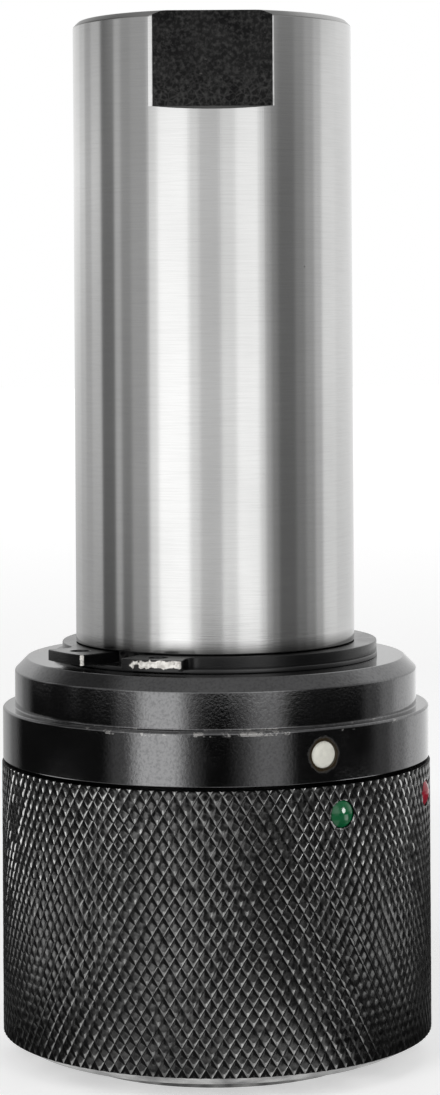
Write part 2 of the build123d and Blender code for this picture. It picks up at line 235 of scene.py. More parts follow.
# upright cards and lamps, which the shank mirrors: where each starts and ends, and its glow at its
# foot and at its top
uprights = {
    "left_white": (-180, -138, 0.50, 1.00),
    "left_pale": (-138, -126, 0.45, 0.85),
    "left_shade": (-126, -115, 0.45, 0.60),
    "left_strip": (-115, -101, 0.48, 0.80),
    "left_black": (-101, -85, 0.13, 0.22),
    "left_grey": (-85, -78, 0.47, 0.60),
    "left_dark": (-78, -68, 0.18, 0.40),
    "left_soft": (-68, -52, 0.40, 0.48),
    "lamp_edge": (-52, -44, 1.05, 1.05),
    "left_lamp": (-44, -19, 1.50, 1.50),
    "lamp_side": (-19, -11, 0.98, 1.02),
    "camera_side": (-11, 6, 0.68, 0.75),
    "right_edge": (6, 18, 1.05, 1.05),
    "right_lamp": (18, 36, 1.40, 1.35),
    "right_fall": (36, 41, 0.95, 0.95),
    "right_shade": (41, 46, 0.50, 0.50),
    "right_deep": (46, 52, 0.28, 0.30),
    "right_black": (52, 68, 0.14, 0.19),
    "right_dark": (68, 78, 0.22, 0.30),
    "right_dim": (78, 88, 0.32, 0.46),
    "right_grey": (88, 97, 0.54, 0.68),
    "right_pale": (97, 116, 0.93, 1.00),
    "right_white": (116, 180, 0.82, 0.95),
}
# low cards, which the collar mirrors: where each starts and ends, and its glow
low_cards = {
    "left_white": (-180, -138, 0.58),
    "left_pale": (-138, -126, 0.30),
    "left_black": (-126, -54, 0.02),
    "lamp_start": (-54, -41, 0.25),
    "left_lamp": (-41, -17, 1.95),
    "lamp_end": (-17, -9, 0.30),
    "camera_side": (-9, 10, 0.01),
    "right_start": (10, 18, 0.18),
    "right_lamp": (18, 36, 0.58),
    "right_black": (36, 88, 0.02),
    "right_grey": (88, 102, 0.20),
    "right_pale": (102, 116, 0.60),
    "right_white": (116, 180, 1.10),
}
# three rings of cards that lie on the floor, each from one distance to another, which the knurl's
# flanks, its tips and its flat tops mirror: the same
near_ring, middle_ring, far_ring = (25 * mm, 45.6 * mm), (48 * mm, 60 * mm), (69 * mm, 152 * mm)
near_floor = {
    "back_left": (-180, -100, 0.12),
    "side_left": (-100, -74, 0.03),
    "left": (-74, -52, 0.10),
    "front_left": (-52, -18, 0.60),
    "front": (-18, 0, 0.38),
    "front_lit": (0, 26, 0.82),
    "front_right": (26, 42, 0.90),
    "right": (42, 70, 0.06),
    "side_right": (70, 100, 0.03),
    "back_right": (100, 180, 0.12),
}
middle_floor = {
    "back_left": (-180, -97, 0.05),
    "side_left": (-97, -73, 0.35),
    "left": (-73, -52, 0.20),
    "front_left": (-52, -18, 0.60),
    "front": (-18, 0, 0.38),
    "front_lit": (0, 26, 0.80),
    "front_right": (26, 42, 0.70),
    "right": (42, 73, 0.15),
    "side_right": (73, 97, 0.35),
    "back_right": (97, 180, 0.05),
}
far_floor = {
    "back_left": (-180, -102, 0.05),
    "side_left": (-100, -74, 2.30),
    "left": (-74, -40, 0.42),
    "front_left": (-40, -12, 1.40),
    "front": (-12, 20, 0.30),
    "front_right": (20, 64, 0.22),
    "side_right": (64, 88, 2.30),
    "back_right": (86, 180, 0.06),
}
# high cards, which the collar's bevel mirrors: the same
high_cards = {
    "left_white": (-180, -148, 0.55),
    "left_pale": (-148, -135, 0.36),
    "left_grey": (-135, -122, 0.26),
    "left_black": (-122, -92, 0.12),
    "ceiling": (-92, 108, ceiling_glow),
    "right_grey": (108, 118, 0.60),
    "right_white": (118, 180, 1.00),
}
sharp_join, soft_join = 2.5, 8


def card_glow(cards, direction, join_width, end=0):
    """Glow of a ring of cards in a direction, blurred where two cards meet."""
    glow = 0
    for start, stop, *levels in cards.values():
        inside = min(direction - start, stop - direction) / join_width
        glow += levels[end] * min(max(inside + 0.5, 0), 1)
    return glow


points, glows = [], []
for direction in range(-180, 181):
    near, middle, far, low, high = (
        card_glow(cards, direction, soft_join)
        for cards in (near_floor, middle_floor, far_floor, low_cards, high_cards)
    )
    column = [
        (distance, card_foot, glow)
        for ring, glow in ((near_ring, near), (middle_ring, middle), (far_ring, far))
        for distance in ring
    ]
    column += [
        (card_distance, card_foot, low),
        (card_distance, low_top, low),
        (card_distance, upright_foot, card_glow(uprights, direction, sharp_join)),
        (card_distance, upright_top, card_glow(uprights, direction, sharp_join, end=1)),
        (card_distance, high_foot, high),
        (card_distance, high_top, high),
        (card_distance, ceiling_height, ceiling_glow),
    ]
    turn = radians(direction)
    points += [(r * sin(turn), -r * cos(turn), z) for r, z, glow in column]
    glows += [glow for r, z, glow in column]
rows = len(column)
starts = range(len(points) - rows)
faces = [(k, k + rows, k + rows + 1, k + 1) for k in starts if (k + 1) % rows]
lid = [k for k in starts if (k + 1) % rows == 0]
mesh = bpy.data.meshes.new("panels")
mesh.from_pydata(points, [], [*faces, lid])
mesh.attributes.new("glow", "FLOAT", "POINT").data.foreach_set("value", glows)
panels, where = new_finish("panels")
light = node(where.tree, "Emission")
feed(light.inputs["Strength"], Amount(node(where.tree, "Attribute", attribute_name="glow").outputs["Fac"]))
where.tree.links.new(light.outputs[0], where.tree.nodes["Material Output"].inputs["Surface"])
panel_ring = link("panels", mesh, panels)
panel_ring.visible_camera = False
panel_ring.visible_diffuse = False
panel_ring.visible_shadow = False
panel_ring.visible_transmission = False


def area_lamp(name, place, aim, watts, width, tall=0):
    """A soft lamp aimed at a point, round unless it is also given a height."""
    lamp = bpy.data.objects.new(name, bpy.data.lights.new(name, "AREA"))
    bpy.context.scene.collection.objects.link(lamp)
    lamp.data.shape = "RECTANGLE" if tall else "DISK"
    lamp.data.size, lamp.data.size_y = width, tall or width
    lamp.data.energy = watts
    lamp.location = place
    lamp.rotation_euler = (aim - place).to_track_quat("-Z", "Y").to_euler()
    lamp.visible_camera = False
    return lamp


softbox_distance = 0.8
softbox_aim = Vector((0, 0, 60 * mm))
for name, direction, height, width, tall, watts in (
    ("left_softbox", radians(-35), 0.45, 0.45, 0.8, 3.2),
    ("right_softbox", radians(30), 0.35, 0.35, 0.7, 1.8),
    ("top_softbox", radians(170), 0.9, 0.8, 0.6, 1.6),
):
    place = Vector((softbox_distance * sin(direction), -softbox_distance * cos(direction), height))
    area_lamp(name, place, softbox_aim, watts, width, tall).visible_glossy = False

# Holder body. One piece of hardened steel, turned, bored and blackened, and then ground bright on
# its shank. The two drive flats were milled first and stay black and rough, and grinding left a
# fine bright edge beside them.
body_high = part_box("holder_body")[1]
shank_radius = 16.0 * mm
shank_chamfer, shank_easing = 0.6 * mm, 0.12 * mm
groove_radius = 15.15 * mm
groove_bottom, groove_top = 45.8 * mm, 47.1 * mm
flat_depth = 1.54 * mm
flat_length = 11.0 * mm
flat_left, flat_right = -6.57 * mm, 6.70 * mm
flat_face = shank_radius - flat_depth
ledge = body_high.z - flat_length
ledge_slope = tan(radians(16))
left_break, right_break = 0.20, 0.04
nose_height = 1.72 * mm
# above this height the turned blank gives the body's outside, and below it the solid does
blank_start = 44 * mm
bar_radius = 24 * mm
spare = 1 * mm
# the scale on the flats: its lumps, how much rougher it is at the ledge, and the grid it is made on
grain_depth = 0.018 * mm
coarse_grain, fine_grain, fine_share = 0.45 * mm, 0.2 * mm, 0.6
flaky_height, flaky_share = 5 * mm, 1.3
grain_step = 0.14 * mm
block_half_width, block_height = 9.24 * mm, 11.76 * mm
# how near a surface a point counts as lying on it
shank_skin, flat_skin, ledge_skin = 0.015 * mm, 0.05 * mm, 0.07 * mm
ground_dull, ground_clear = (0.575, 0.575, 0.57), (0.665, 0.665, 0.66)
wheel_mark_grey, pit_grey = (0.40, 0.40, 0.395), (0.30, 0.29, 0.28)
# painted shade at the shank's foot: where it is darkest and where it ends above the ring, how ragged its
# edge is, and its grey
foot_shade_low, foot_shade_high, foot_shade_wave = 0.2 * mm, 1.5 * mm, 1.5 * mm
foot_shade_grey = (0.10, 0.098, 0.095)
turned_grey = (0.36, 0.36, 0.355)
nose_stain, nose_grey = (0.08, 0.08, 0.08), (0.28, 0.28, 0.275)
scale_black, scale_grey = (0.0014, 0.0014, 0.0016), (0.047, 0.0465, 0.0455)
# the ledge's grey is painted light
speck_grey, lit_ledge_grey = (0.075, 0.074, 0.072), (0.13, 0.13, 0.128)


def between(value, low, high):
    """A mask that holds where a value lies between two others."""
    return worked_out("COMPARE", value, (low + high) / 2, (high - low) / 2)


def noise(where, scale, detail=4, roughness=0.55, stretch=(1, 1, 1)):
    """Noise over the piece's own places, finer along the axes with a larger stretch."""
    squeezed = node(where.tree, "VectorMath", operation="MULTIPLY")
    feed(squeezed.inputs[0], where)
    feed(squeezed.inputs[1], stretch)
    made = node(where.tree, "TexNoise")
    feed(made.inputs["Vector"], Amount(squeezed.outputs[0]))
    feed(made.inputs["Scale"], scale)
    feed(made.inputs["Detail"], detail)
    feed(made.inputs["Roughness"], roughness)
    return Amount(made.outputs["Fac"])


def blend(kind, share, values):
    """A mix of two values of a kind."""
    made = node(share.tree, "Mix", data_type=kind)
    feed(made.inputs["Factor"], share)
    socket_type = "VALUE" if kind == "FLOAT" else kind
    sockets = [s for s in made.inputs if s.type == socket_type and s.name != "Factor"]
    for socket, value in zip(sockets, values):
        feed(socket, value)
    return Amount(next(s for s in made.outputs if s.type == socket_type))


def blend_colour(share, dark, light):
    """A mix of two colours."""
    return blend("RGBA", share, (dark, light))


def blend_number(share, low, high):
    """A mix of two numbers."""
    return blend("FLOAT", share, (low, high))


def bump(height, depth):
    """Relief of a depth in metres."""
    made = node(height.tree, "Bump")
    feed(made.inputs["Distance"], depth)
    feed(made.inputs["Height"], height)
    return Amount(made.outputs["Normal"])


def as_mesh(name, shape):
    """The mesh of a shape that has been made."""
    mesh = bpy.data.meshes.new(name)
    shape.to_mesh(mesh)
    shape.free()
    return mesh


def eased(corners, steps=4):
    """A turned profile with its corners eased: points of radius, height, and how far the easing
    reaches along both sides."""
    profile = []
    for k, (r, z, reach) in enumerate(corners):
        if not reach:
            profile.append((r, z))
            continue
        corner = Vector((r, z))
        before, after = (
            (Vector(corners[n % len(corners)][:2]) - corner).normalized() * reach for n in (k - 1, k + 1)
        )
        for step in range(steps + 1):
            share = step / steps
            profile.append(tuple(corner + before * (1 - share) ** 2 + after * share**2))
    return profile


def lathe(name, profile, segments=240):
    """A closed body turned from a profile of (radius, height) points, counter-clockwise."""
    turned = bmesh.new()
    rings = []
    for r, z in profile:
        turns = [2 * pi * k / segments for k in range(segments if r else 1)]
        rings.append([turned.verts.new((r * cos(turn), r * sin(turn), z)) for turn in turns])
    for low, high in zip(rings, rings[1:] + rings[:1]):
        if len(low) == len(high) == 1:
            continue
        for k in range(segments):
            corners = ((low, k), (low, k + 1), (high, k + 1), (high, k))
            turned.faces.new(dict.fromkeys(ring[n % len(ring)] for ring, n in corners))
    bmesh.ops.recalc_face_normals(turned, faces=turned.faces[:])
    return as_mesh(name, turned)


def boolean(piece, mesh, operation):
    """Cuts a piece's mesh with another one, or keeps what both hold, and takes off the burrs."""
    tool = bpy.data.objects.new("cutting_tool", mesh)
    bpy.context.scene.collection.objects.link(tool)
    cut = piece.modifiers.new("cut", "BOOLEAN")
    cut.operation = operation
    cut.solver = "MANIFOLD"
    cut.object = tool
    bpy.context.view_layer.update()
    result = bpy.data.meshes.new_from_object(piece.evaluated_get(bpy.context.evaluated_depsgraph_get()))
    burrs = bmesh.new()
    burrs.from_mesh(result)
    bmesh.ops.dissolve_degenerate(burrs, dist=0.001 * mm, edges=burrs.edges[:])
    burrs.to_mesh(result)
    burrs.free()
    piece.modifiers.clear()
    piece.data = result
    bpy.data.objects.remove(tool)


def cad_copy(name, outside=None, by=0.5 * mm):
    """A closed copy of a carried-over piece, with the points that lie outside pushed clear."""
    shape = bmesh.new()
    shape.from_mesh(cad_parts[name].data)
    bmesh.ops.remove_doubles(shape, verts=shape.verts[:], dist=0.001 * mm)
    for vert in shape.verts:
        from_axis = sqrt(vert.co.x**2 + vert.co.y**2)
        if outside and outside(from_axis, vert.co.z):
            vert.co.x *= 1 + by / from_axis
            vert.co.y *= 1 + by / from_axis
    mesh = as_mesh(name, shape)
    for layer in ("custom_normal", "sharp_edge", "sharp_face"):
        if layer in mesh.attributes:
            mesh.attributes.remove(mesh.attributes[layer])
    return mesh


def dress(piece, name, body, material):
    """Gives a finished piece its one material and its place in the part."""
    piece.data.materials.clear()
    piece.data.materials.append(material)
    piece.data.shade_smooth()
    piece.data.set_sharp_from_angle(angle=radians(25))
    piece.modifiers.new("flat_walls", "WEIGHTED_NORMAL").keep_sharp = True
    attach(piece, body)
    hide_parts(name)


def milled_block(side):
    """What the milling cutter takes off for one flat. Its face is as rough as the furnace left it, and
    roughest near the ledge."""
    reach = 2 * flat_depth
    columns = round(block_half_width / grain_step)
    heights = [
        ledge + ledge_slope * flat_depth + grain_step * k
        for k in range(round(block_height / grain_step))
    ]
    block = bmesh.new()
    rings = []
    for x in (grain_step * k for k in range(-columns, columns + 1)):
        slope = max(0, (flat_left - x) * left_break, (x - flat_right) * right_break)
        outline = [(flat_face + reach, ledge + ledge_slope * (flat_depth - reach))]
        for z in heights:
            grain = lumps(Vector((x, z, side)) / coarse_grain)
            grain += fine_share * lumps(Vector((x, side, z)) / fine_grain)
            flaky = 1 + flaky_share * max(0, 1 - (z - ledge) / flaky_height)
            rough = 0 if slope else grain_depth * grain * flaky
            outline.append((flat_face - slope + rough, z))
        outline.append((flat_face + reach, heights[-1]))
        rings.append([block.verts.new((x, side * y, z)) for y, z in outline])
    for near, far in zip(rings, rings[1:]):
        for k in range(len(near)):
            n = (k + 1) % len(near)
            block.faces.new((near[k], near[n], far[n], far[k]))
    block.faces.new(rings[0])
    block.faces.new(rings[-1])
    bmesh.ops.recalc_face_normals(block, faces=block.faces[:])
    return as_mesh("milled_block", block)


def ground_colour(where, z, wheel_marks, turned, nose):
    """Bright steel. Wheel marks run round the shank, handling has left a few pits, and the last
    millimetre above the ring is darkened with painted shade. The turned end is duller, the nose stained."""
    haze = noise(where, 70, detail=3, stretch=(1, 1, 0.4))
    pits = fade(noise(where, 1500, detail=2), 0.80, 0.84)
    colour = blend_colour(fade(haze, 0.3, 0.7), ground_dull, ground_clear)
    colour = blend_colour(fade(wheel_marks, 0.42, 0.66, 0.0, 0.15), colour, wheel_mark_grey)
    colour = blend_colour(pits, colour, pit_grey)
    # painted shade: the shank darkens towards the ring, where the ring's shade and dark reflection fall
    height = z + (haze - 0.5) * foot_shade_wave - groove_top
    colour = blend_colour(fade(height, foot_shade_low, foot_shade_high, 0.85, 0.0), colour, foot_shade_grey)
    colour = blend_colour(turned, colour, turned_grey)
    stain = fade(noise(where, 260, detail=2, stretch=(1, 1, 0.3)), 0.40, 0.62)
    return blend_colour(nose, colour, blend_colour(stain, nose_stain, nose_grey))


def scale_colour(where, z, front, scale):
    """Furnace scale, sooty and specked. Towards the ledge it has broken into flakes with pale edges,
    and the ledge at the flats' lower end, which faces up, is painted a lighter grey as painted light."""
    sooty = noise(where, 330, detail=3)
    specks = fade(noise(where, 1700, detail=3), 0.70, 0.76)
    flakes = node(where.tree, "TexVoronoi", feature="DISTANCE_TO_EDGE")
    feed(flakes.inputs["Vector"], where)
    feed(flakes.inputs["Scale"], 1300)
    flake_edges = fade(Amount(flakes.outputs["Distance"]), 0.02, 0.12, 0.6, 0.0)
    flake_edges = flake_edges * fade(z, ledge, ledge + flat_length / 2, 1.0, 0.0)
    pale = fade(scale, 0.46, 0.68, 0.0, 0.75) + fade(sooty, 0.35, 0.65, 0.0, 0.25) + flake_edges
    colour = blend_colour(specks, blend_colour(pale, scale_black, scale_grey), speck_grey)
    # painted light: the ledge faces up and is painted a lighter grey, as light from above falls on it
    on_ledge = (front > flat_face + ledge_skin) * (z > groove_top)
    return blend_colour(on_ledge, colour, lit_ledge_grey)


def ground_shank_steel():
    """Bright ground steel on the shank, and black furnace scale everywhere else on the body. Bare too
    are the turned end, the nose, and the fine edge beside the flats."""
    material, where = new_finish("ground_shank_steel")
    x, y, z = axes_of(where)
    front = worked_out("ABSOLUTE", y)
    ground = (length_of(x, y) > shank_radius - shank_skin) * (z > groove_top)
    nose = z < nose_height
    turned = either(z > body_high.z - shank_chamfer - shank_easing / 2, nose)
    across = between(x, flat_left, flat_right)
    edge = (1 - across) * (z > ledge)
    milled = across * between(front, flat_face - flat_skin, flat_face + flat_skin)
    bare = either(ground, turned, edge) * (1 - milled)

    wheel_marks = noise(where, 240, stretch=(1, 1, 45))
    rubs = noise(where, 700, roughness=0.6, stretch=(1, 1, 0.05))
    scale = noise(where, 2000, detail=5, roughness=0.6)
    steel = ground_colour(where, z, wheel_marks, turned, nose)
    steel_roughness = blend_number(turned, fade(rubs, 0.3, 0.7, 0.10, 0.14), 0.28)
    round_axis = node(where.tree, "Tangent", direction_type="RADIAL", axis="Z")
    coat(material, {
        "Base Color": blend_colour(bare, scale_colour(where, z, front, scale), steel),
        "Metallic": bare,
        "Roughness": blend_number(bare, 0.55, steel_roughness),
        "Specular IOR Level": 0.14,
        "Anisotropic": 0.3,
        "Anisotropic Rotation": 0.25,
        "Tangent": Amount(round_axis.outputs[0]),
        "Normal": bump(blend_number(bare, scale, wheel_marks * 0.05), 0.05 * mm),
    })
    return material


def outer_shank(from_axis, height):
    """Where the turned blank gives the body's outside."""
    return height > blank_start and from_axis > groove_radius - 0.25 * mm


body_blank = lathe("body_blank", eased([
    (0, -spare, 0),
    (bar_radius, -spare, 0),
    (bar_radius, blank_start, 0),
    (shank_radius, blank_start + 0.5 * mm, 0),
    (shank_radius, groove_bottom, 0),
    (groove_radius, groove_bottom, 0),
    (groove_radius, groove_top, 0),
    (shank_radius, groove_top, 0.1 * mm),
    (shank_radius, body_high.z - shank_chamfer, shank_easing),
    (shank_radius - shank_chamfer, body_high.z, shank_easing),
    (0, body_high.z, 0),
]), segments=360)
shank_steel = ground_shank_steel()
holder_body = link("ground_body", body_blank, shank_steel)
boolean(holder_body, cad_copy("holder_body", outer_shank), "INTERSECT")
for side in (-1, 1):
    boolean(holder_body, milled_block(side), "DIFFERENCE")
dress(holder_body, "holder_body", "holder", shank_steel)

# Snap ring. Stamped from spring steel and blackened, with rounded edges on its upper face. Its right
# lug was sheared after blackening, so that lug's outer end is bare and rough, and a corner of its
# left lug is rubbed.
ring_low, ring_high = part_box("retaining_ring")
lug_radius = 20.8 * mm
left_lug, right_lug = radians(-135), radians(-110)
torn_left, torn_right = -9.8 * mm, -7.2 * mm
torn_low, torn_high = ring_low.z + 0.30 * mm, ring_high.z - 0.14 * mm
torn_width, torn_wave = 0.42 * mm, 0.9 * mm
rubbed_reach = 0.32 * mm
ring_bevel = 0.12 * mm
ring_dark, ring_light = (0.002, 0.002, 0.0025), (0.006, 0.006, 0.006)
torn_dark, torn_light = (0.56, 0.54, 0.51), (0.88, 0.86, 0.82)


def oiled_oxide(where, dark, light, smooth, rough):
    """Colour and roughness of oiled black oxide, in faint clouds."""
    cloud = noise(where, 260, detail=6, roughness=0.6)
    return blend_colour(cloud, dark, light), fade(cloud, 0.3, 0.75, smooth, rough)


def tooling(where, grain, depth):
    """Relief of fine marks round a blackened piece."""
    return bump(noise(where, grain, detail=5, roughness=0.6, stretch=(1, 1, 3.5)), depth)


def reach_along(x, y, angle):
    """How far a place lies out from the axis in a direction."""
    return x * cos(angle) + y * sin(angle)


def stamped_ring_black():
    """Black oxide, torn off the right lug's end and rubbed off the left lug's corner."""
    material, where = new_finish("ring_black")
    x, y, z = axes_of(where)
    tear = noise(where, 1500, roughness=0.6)
    ragged = (tear - 0.5) * torn_wave
    torn = fade(tear + fade(x, torn_left, torn_right, -0.12, 0.24), 0.50, 0.60)
    torn = torn * between(z + ragged, torn_low, torn_high)
    torn = torn * (reach_along(x, y, right_lug) > lug_radius - torn_width)
    from_corner = length_of(x - lug_radius * cos(left_lug), y - lug_radius * sin(left_lug))
    bare = either(torn, from_corner + ragged * 0.3 < rubbed_reach)
    mottle = fade(noise(where, 2300, detail=3), 0.36, 0.60)
    black, roughness = oiled_oxide(where, ring_dark, ring_light, 0.14, 0.28)
    coat(material, {
        "Base Color": blend_colour(bare, black, blend_colour(mottle, torn_dark, torn_light)),
        "Metallic": bare,
        "Roughness": blend_number(bare, roughness, 0.5),
        "IOR": 1.42,
        "Normal": tooling(where, 1800, 0.006 * mm),
    })
    return material


ring_black = stamped_ring_black()
snap_ring = link("stamped_snap_ring", cad_copy("retaining_ring"), ring_black)
stamped = bmesh.new()
stamped.from_mesh(snap_ring.data)
bmesh.ops.dissolve_limit(stamped, angle_limit=radians(2), verts=stamped.verts[:], edges=stamped.edges[:])
upper = [
    edge for edge in stamped.edges
    if edge.is_manifold and edge.calc_face_angle() > radians(60)
    and all(vert.co.z > ring_high.z - 0.01 * mm for vert in edge.verts)
]
bmesh.ops.bevel(
    stamped, geom=upper, offset=ring_bevel, offset_type="OFFSET", segments=3, profile=0.5, affect="EDGES"
)
stamped.to_mesh(snap_ring.data)
stamped.free()
dress(snap_ring, "retaining_ring", "holder", ring_black)

# Washer. A thin hardened ring under the snap ring, stamped from strip, then tumbled, which rounded
# its edges, and blackened.
washer_low, washer_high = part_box("thrust_washer")
washer_bore = 16.1 * mm
washer_dark, washer_light = (0.003, 0.003, 0.0035), (0.008, 0.008, 0.008)
washer_black, where = new_finish("washer_black")
black, roughness = oiled_oxide(where, washer_dark, washer_light, 0.18, 0.30)
coat(washer_black, {
    "Base Color": black, "Roughness": roughness, "IOR": 1.6, "Normal": tooling(where, 800, 0.004 * mm),
})
washer = link("tumbled_washer", lathe("washer", eased([
    (washer_bore, washer_low.z, 0.06 * mm),
    (washer_high.x, washer_low.z, 0.12 * mm),
    (washer_high.x, washer_high.z, 0.12 * mm),
    (washer_bore, washer_high.z, 0.06 * mm),
])), washer_black)
dress(washer, "thrust_washer", "holder", washer_black)

# Collar. Turned from bar with a bevel and a step, blackened and oiled, and smooth enough to mirror
# the lamps. It is keyed to the body. The step's edge is rubbed bright at the front, and old oil has
# dried round the cream plug.
collar_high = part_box("index_collar")[1]
collar_foot = 33.8 * mm
collar_radius = collar_high.x
collar_step = 39.8 * mm
upper_radius = 23.05 * mm
bevel = 1.4 * mm
edge_chamfer = 0.2 * mm
foot_chamfer = 0.15 * mm
blank_bore, blank_foot = 15 * mm, 31 * mm
spigot_radius = 22.7 * mm
face_middle = 20.5 * mm
rubbed_left, rubbed_right = -16 * mm, 5 * mm
spot_x, spot_y = -19.6 * mm, 4.5 * mm
spot_inside, spot_outside = 0.8 * mm, 2.2 * mm
cream_angle, cream_height = radians(-61.5), 36.9 * mm
oil_inside, oil_outside, oil_wave = 1.7 * mm, 2.0 * mm, 0.8 * mm
collar_dark, collar_light = (0.122, 0.122, 0.124), (0.162, 0.162, 0.164)
rubbed_grey, dried_oil = (0.42, 0.41, 0.40), (0.030, 0.020, 0.008)


def from_hole(x, y, z, angle, height):
    """Distance from the middle line of a blind hole in the side, and a metre more on the far side."""
    around = y * cos(angle) - x * sin(angle)
    return length_of(around, z - height) + (reach_along(x, y, angle) < 0)


def turned_collar_black():
    """Black oxide over fine turning, which mirrors as dark steel does."""
    material, where = new_finish("collar_black")
    x, y, z = axes_of(where)
    cloud = noise(where, 260, detail=6, roughness=0.6)
    mottling = noise(where, 3200, detail=5, roughness=0.6)
    rubbing = noise(where, 900, detail=6, roughness=0.7)

    # the step's edge wears in patches
    worn_front = fade(x, rubbed_left, rubbed_left + 3 * mm) * (y < 0)
    worn_front = worn_front * fade(x, rubbed_right, rubbed_right + 4 * mm, 1.0, 0.35)
    patches = noise(where, 60, detail=2, stretch=(1, 1, 0.2)) * 0.4 + worn_front * 0.18
    worn = between(z, collar_step - 0.5 * mm, collar_step + 0.1 * mm) * fade(rubbing + patches, 0.90, 0.98)
    # a rubbed spot on the top face, beside the left lug
    from_spot = length_of(x - spot_x, y - spot_y, z - collar_high.z)
    spot = fade(from_spot, spot_inside, spot_outside, 1.0, 0.0) * fade(rubbing, 0.50, 0.56)
    worn = either(worn, spot * (z > collar_high.z - 0.1 * mm))
    # the oil has a ragged rim
    from_plug = from_hole(x, y, z, cream_angle, cream_height) + (rubbing - 0.5) * oil_wave
    oily = fade(from_plug, oil_inside, oil_outside, 1.0, 0.0)

    black = blend_colour(fade(mottling, 0.36, 0.54), collar_dark, collar_light)
    coat(material, {
        "Base Color": blend_colour(oily, blend_colour(worn, black, rubbed_grey), dried_oil),
        "Metallic": 1 - oily,
        "Roughness": blend_number(worn, fade(cloud, 0.3, 0.75, 0.06, 0.12), 0.3),
        "IOR": 2.35,
        "Normal": bump(mottling, 0.009 * mm),
    })
    return material


def outer_collar(from_axis, height):
    """Where the turned blank gives the collar's outside: all but its spigot and the top face's middle."""
    return from_axis > spigot_radius + 0.2 * mm or height > collar_step and from_axis > face_middle


collar_black = turned_collar_black()
collar = link("turned_collar", lathe("collar_blank", eased([
    (blank_bore, blank_foot, 0),
    (spigot_radius, blank_foot, 0),
    (spigot_radius, collar_foot, 0),
    (collar_radius - foot_chamfer, collar_foot, 0.06 * mm),
    (collar_radius, collar_foot + foot_chamfer, 0.06 * mm),
    (collar_radius, collar_step - edge_chamfer, 0.08 * mm),
    (collar_radius - edge_chamfer, collar_step, 0.08 * mm),
    (upper_radius, collar_step, 0.15 * mm),
    (upper_radius, collar_high.z - bevel, 0.12 * mm),
    (upper_radius - bevel, collar_high.z, 0.12 * mm),
    (blank_bore, collar_high.z, 0),
])), collar_black)
boolean(collar, cad_copy("index_collar", outer_collar), "INTERSECT")
dress(collar, "index_collar", "holder", collar_black)

# Locking sleeve. Turned from bar and knurled with 120 raised diamonds round it, then bored and
# blackened; its chamfers are cut through the knurl. Light and shade are painted by facing: the
# flanks that face down are bare and light, those that face up near black.
sleeve_low, sleeve_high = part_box("locking_sleeve")
sleeve_radius = sleeve_high.x
sleeve_bore = 17 * mm
foot_height = 1.2 * mm
foot_radius = 22.4 * mm
top_chamfer = 0.1 * mm
diamonds_round = 120
diamond_height = 2.16 * mm
knurl_depth = 0.12 * mm
tooth_wear, diamond_wear = 0.012 * mm, 0.012 * mm
# outlines inside each diamond: half its size, how far it is shifted up, and the share of the knurl's
# depth that it still lies below the top
knurl_steps = ((0.56, -0.145, 0.05), (0.50, -0.145, 0.0))
tip_half_width, tip_cut = 0.16, 0.20
bar_trim = 0.3
dot_height = 30.3 * mm
green_angle, red_angle = radians(-56.2), radians(-15.5)
rim_inside, rim_outside = 1.60 * mm, 1.72 * mm
oxide_dark, oxide_light = (0.03, 0.03, 0.03), (0.11, 0.11, 0.108)
bare_dark, bare_light = (0.20, 0.20, 0.198), (0.60, 0.60, 0.59)
stain_dark, stain_light = (0.05, 0.05, 0.05), (0.46, 0.46, 0.45)
# near black painted on the flanks that face up, as shade
painted_shade_black = (0.010, 0.010, 0.010)


def on_cylinder(turn, height, radius):
    """Point at half-diamonds of turn, a height, and a radius from the axis."""
    angle = pi * turn / diamonds_round
    return Vector((radius * cos(angle), radius * sin(angle), height))


def saw_off(bar, height, up):
    """Cuts a bar off square at a height and closes its end."""
    geometry = bar.verts[:] + bar.edges[:] + bar.faces[:]
    cut = bmesh.ops.bisect_plane(
        bar, geom=geometry, plane_co=(0, 0, height), plane_no=(0, 0, up), clear_outer=True
    )
    rim = [part for part in cut["geom_cut"] if isinstance(part, bmesh.types.BMEdge)]
    bmesh.ops.edgeloop_fill(bar, edges=rim)


